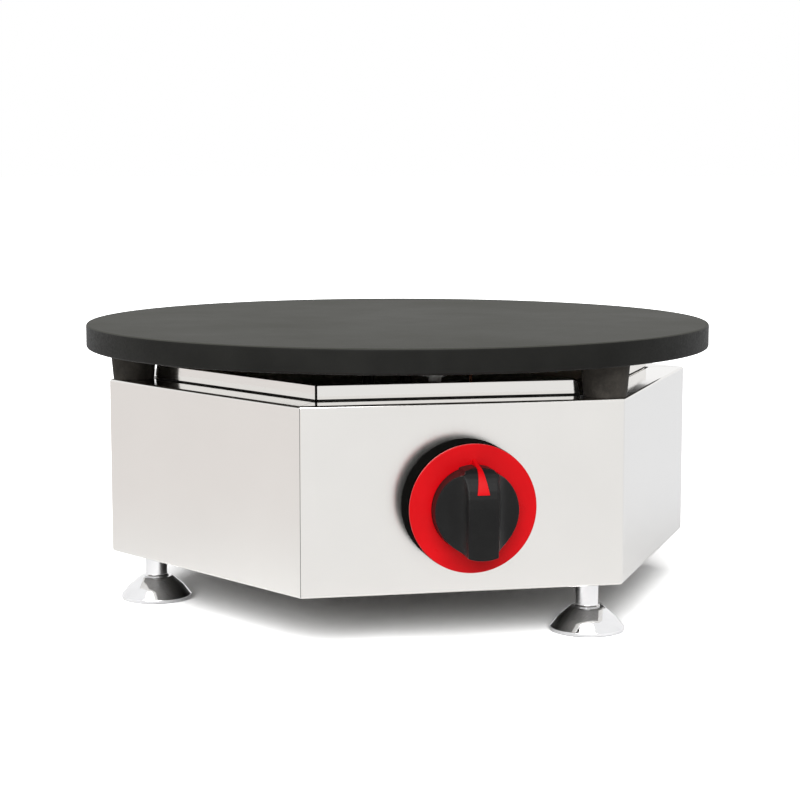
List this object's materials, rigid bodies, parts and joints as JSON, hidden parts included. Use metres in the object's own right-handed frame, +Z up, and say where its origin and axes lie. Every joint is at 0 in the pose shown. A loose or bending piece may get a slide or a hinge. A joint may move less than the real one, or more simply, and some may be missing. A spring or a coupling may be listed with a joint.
{
  "type": "electric crepe maker",
  "caption": "Countertop crepe griddle: round cast-iron plate on short legs above a hexagonal polished housing, with a thermostat knob in front and screw-in levelling feet.",
  "frame": {"origin": "centre of the object's box at the level of the worktop", "axes": "+Z up, the knob faces -Y, +X to the right of someone who faces the knob"},
  "size_m": [0.4, 0.4124, 0.1765],
  "materials": {
    "griddle_iron": "seasoned cast iron, machined top with a fine turned grain",
    "polished_stainless": "mirror-polished stainless sheet",
    "brushed_stainless": "plain mill-finish stainless sheet",
    "plated_steel": "zinc-plated steel",
    "element_sheath": "heat-darkened sheathed heating tube",
    "copper": "copper bulb and capillary",
    "mineral_wool": "felted mineral-fibre board",
    "white_ceramic": "glazed steatite",
    "yellow_brass": "turned brass",
    "lead_sleeve": "glass-fibre braided lead",
    "earth_sleeve": "glass-fibre braided earth lead",
    "black_plastic": "moulded thermoset",
    "knob_black": "moulded thermoset, satin",
    "skirt_red": "gloss moulded plastic",
    "black_rubber": "moulded rubber",
    "foot_chrome": "polished and plated"
  },
  "bodies": {
    "appliance": {"griddle_plate": "griddle_iron", "outer_element": "element_sheath", "inner_element": "element_sheath", "element_clamps": "plated_steel", "clamp_studs": "plated_steel", "clamp_nuts": "plated_steel", "sensing_bulb": "copper", "bulb_clip": "plated_steel", "clip_screws": "plated_steel", "leg_bolts": "plated_steel", "reflector_pan": "polished_stainless", "pan_rivets": "plated_steel", "insulation_pad": "mineral_wool", "element_bushings": "white_ceramic", "housing": "polished_stainless", "corner_gussets": "plated_steel", "foot_bosses": "plated_steel", "base_plate": "brushed_stainless", "base_screws": "plated_steel", "knob_bezel": "black_plastic", "bezel_screws": "plated_steel", "thermostat": "white_ceramic", "thermostat_bracket": "plated_steel", "capillary": "copper", "limiter": "black_plastic", "terminal_block": "white_ceramic", "terminal_screws": "yellow_brass", "element_leads": "lead_sleeve", "thermostat_leads": "lead_sleeve", "earth_stud": "yellow_brass", "earth_nut": "yellow_brass", "earth_lead": "earth_sleeve", "gland_body": "black_plastic", "gland_seal": "black_rubber", "gland_cap": "black_plastic", "gland_locknut": "black_plastic"},
    "knob": {"knob_body": "knob_black", "knob_skirt": "skirt_red", "knob_pointer": "skirt_red", "spindle": "plated_steel"},
    "foot_cup_left": {"foot_cup_left": "foot_chrome", "foot_pad_left": "black_rubber"},
    "foot_stem_left": {"foot_stem_left": "foot_chrome"},
    "foot_cup_right": {"foot_cup_right": "foot_chrome", "foot_pad_right": "black_rubber"},
    "foot_stem_right": {"foot_stem_right": "foot_chrome"},
    "foot_cup_rear": {"foot_cup_rear": "foot_chrome", "foot_pad_rear": "black_rubber"},
    "foot_stem_rear": {"foot_stem_rear": "foot_chrome"}
  },
  "joints": [
    {"name": "knob_turn", "type": "hinge", "parent": "appliance", "child": "knob", "pos_m": [0.005, -0.1594, 0.0841], "axis": [0, 1, 0], "range_deg": [0, 270]},
    {"name": "foot_left_height", "type": "slide", "parent": "appliance", "child": "foot_cup_left", "axis": [0, 0, -1], "range_m": [-0.006, 0.01]},
    {"name": "foot_left_screw", "type": "hinge", "parent": "foot_cup_left", "child": "foot_stem_left", "pos_m": [-0.15822, 0.0062, 0.0145], "axis": [0, 0, 1], "range_deg": [-1235.3, 2058.1]},
    {"name": "foot_right_height", "type": "slide", "parent": "appliance", "child": "foot_cup_right", "axis": [0, 0, -1], "range_m": [-0.006, 0.01]},
    {"name": "foot_right_screw", "type": "hinge", "parent": "foot_cup_right", "child": "foot_stem_right", "pos_m": [0.08661, -0.13515, 0.0145], "axis": [0, 0, 1], "range_deg": [-1235.3, 2058.1]},
    {"name": "foot_rear_height", "type": "slide", "parent": "appliance", "child": "foot_cup_rear", "axis": [0, 0, -1], "range_m": [-0.006, 0.01]},
    {"name": "foot_rear_screw", "type": "hinge", "parent": "foot_cup_rear", "child": "foot_stem_rear", "pos_m": [0.08661, 0.14755, 0.0145], "axis": [0, 0, 1], "range_deg": [-1235.3, 2058.1]}
  ],
  "couplings": [
    {"joint": "foot_left_screw", "follows": "foot_left_height", "rad_per_m": 3590.4},
    {"joint": "foot_right_screw", "follows": "foot_right_height", "rad_per_m": 3590.4},
    {"joint": "foot_rear_screw", "follows": "foot_rear_height", "rad_per_m": 3590.4}
  ]
}
